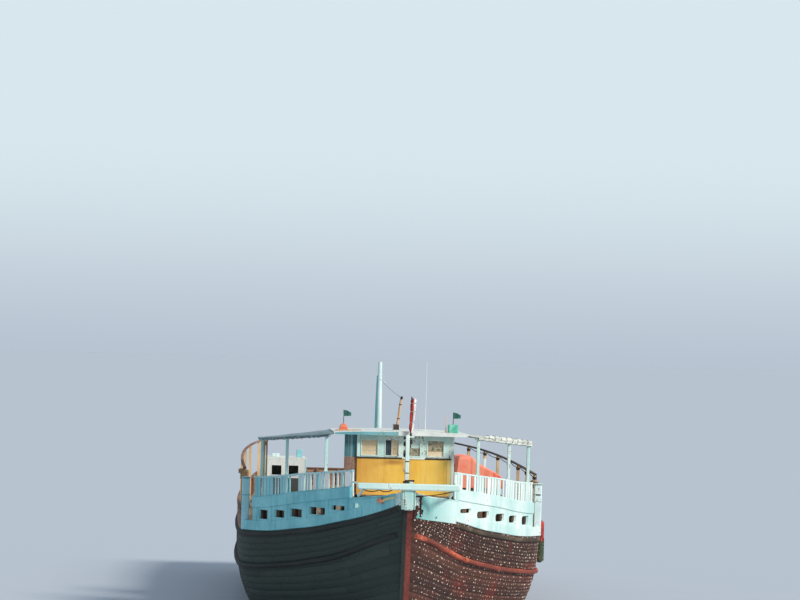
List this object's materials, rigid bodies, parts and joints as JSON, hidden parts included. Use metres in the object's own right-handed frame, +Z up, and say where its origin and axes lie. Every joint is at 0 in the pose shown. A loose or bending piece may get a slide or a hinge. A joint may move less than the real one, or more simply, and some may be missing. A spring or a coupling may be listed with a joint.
{
  "type": "wooden motor dhow",
  "caption": "Decked wooden cargo dhow with a raked stem, raised foredeck with wheelhouse and awnings, open waist, transom stern, screw and rudder.",
  "frame": {"origin": "on the waterline, on the centreline, amidships", "axes": "+X towards the bow, +Y to port, +Z up"},
  "size_m": [30.09, 10.9431, 11.23],
  "materials": {
    "hull_planking": "oiled planks, weathered",
    "oiled_timber": "oiled, weathered",
    "strake_timber": "oiled, rubbed",
    "bulwark_timber": "weathered boards",
    "pale_timber": "bare weathered timber",
    "deck_timber": "scrubbed planks",
    "turquoise_paint": "brushed oil paint, faded",
    "yellow_paint": "brushed oil paint, faded",
    "white_paint": "brushed oil paint, stained",
    "awning_canvas": "sun-bleached canvas",
    "tarpaulin_cloth": "woven tarpaulin",
    "bronze": "cast, dull",
    "black_iron": "tarred, rusty",
    "fender_skin": "worn skin and netting",
    "flag_cloth": "plain furled cloth"
  },
  "bodies": {
    "ship": {"anchor": "black_iron", "antenna": "black_iron", "awning_frame_port": "turquoise_paint", "awning_frame_starboard": "turquoise_paint", "awning_port": "awning_canvas", "awning_starboard": "awning_canvas", "balustrade_port": "turquoise_paint", "balustrade_starboard": "turquoise_paint", "bow_bulwark_port": "turquoise_paint", "bow_bulwark_starboard": "turquoise_paint", "cross_beam": "turquoise_paint", "deck_locker": "pale_timber", "fascia_port": "turquoise_paint", "fascia_starboard": "turquoise_paint", "fender": "fender_skin", "flagstaff": "flag_cloth", "foredeck": "deck_timber", "foredeck_bulkhead": "turquoise_paint", "galley_house": "white_paint", "hatch_coaming": "pale_timber", "helm": "pale_timber", "hull": "hull_planking", "jackstaff": "turquoise_paint", "keel": "oiled_timber", "marker_float_port": "turquoise_paint", "marker_float_starboard": "fender_skin", "mast": "turquoise_paint", "rub_rail_port": "strake_timber", "rub_rail_starboard": "strake_timber", "side_bitt_port": "turquoise_paint", "side_bitt_starboard": "turquoise_paint", "side_wall_port": "turquoise_paint", "side_wall_starboard": "turquoise_paint", "signal_spar": "pale_timber", "stanchion_rail_port": "pale_timber", "stanchion_rail_starboard": "pale_timber", "stem": "oiled_timber", "stem_head": "turquoise_paint", "stern_bulwark": "bulwark_timber", "stern_tube": "bronze", "sternpost": "oiled_timber", "tarpaulin": "tarpaulin_cloth", "waist_bulwark_port": "bulwark_timber", "waist_bulwark_starboard": "bulwark_timber", "wale_port": "strake_timber", "wale_starboard": "strake_timber", "wheelhouse_aft_wall": "turquoise_paint", "wheelhouse_front": "yellow_paint", "wheelhouse_roof": "white_paint", "wheelhouse_wall_port": "turquoise_paint", "wheelhouse_wall_starboard": "turquoise_paint"},
    "rudder": {"rudder": "oiled_timber"},
    "propeller": {"propeller": "bronze", "propeller_shaft": "bronze"},
    "wheelhouse_door_port": {"wheelhouse_door_port": "turquoise_paint"},
    "wheelhouse_door_starboard": {"wheelhouse_door_starboard": "turquoise_paint"},
    "galley_door": {"galley_door": "white_paint"},
    "hatch_cover": {"hatch_cover": "deck_timber"}
  },
  "joints": [
    {"name": "rudder_turn", "type": "hinge", "parent": "ship", "child": "rudder", "pos_m": [-13.96, 0, -1], "axis": [0, 0, 1], "range_deg": [-35, 35]},
    {"name": "propeller_spin", "type": "hinge", "parent": "ship", "child": "propeller", "pos_m": [-12.95, 0, -1.4], "axis": [1, 0, 0], "continuous": true},
    {"name": "port_door_swing", "type": "hinge", "parent": "ship", "child": "wheelhouse_door_port", "pos_m": [9.44, 1.73, 5.2], "axis": [0, 0, -1], "range_deg": [0, 100]},
    {"name": "starboard_door_swing", "type": "hinge", "parent": "ship", "child": "wheelhouse_door_starboard", "pos_m": [9.44, -1.48, 5.2], "axis": [0, 0, 1], "range_deg": [0, 100]},
    {"name": "galley_door_swing", "type": "hinge", "parent": "ship", "child": "galley_door", "pos_m": [3.16, -2.87, 3.8], "axis": [0, 0, -1], "range_deg": [0, 100]},
    {"name": "hatch_lift", "type": "hinge", "parent": "ship", "child": "hatch_cover", "pos_m": [0.1, 0, 3.545], "axis": [0, -1, 0], "range_deg": [0, 75]}
  ]
}
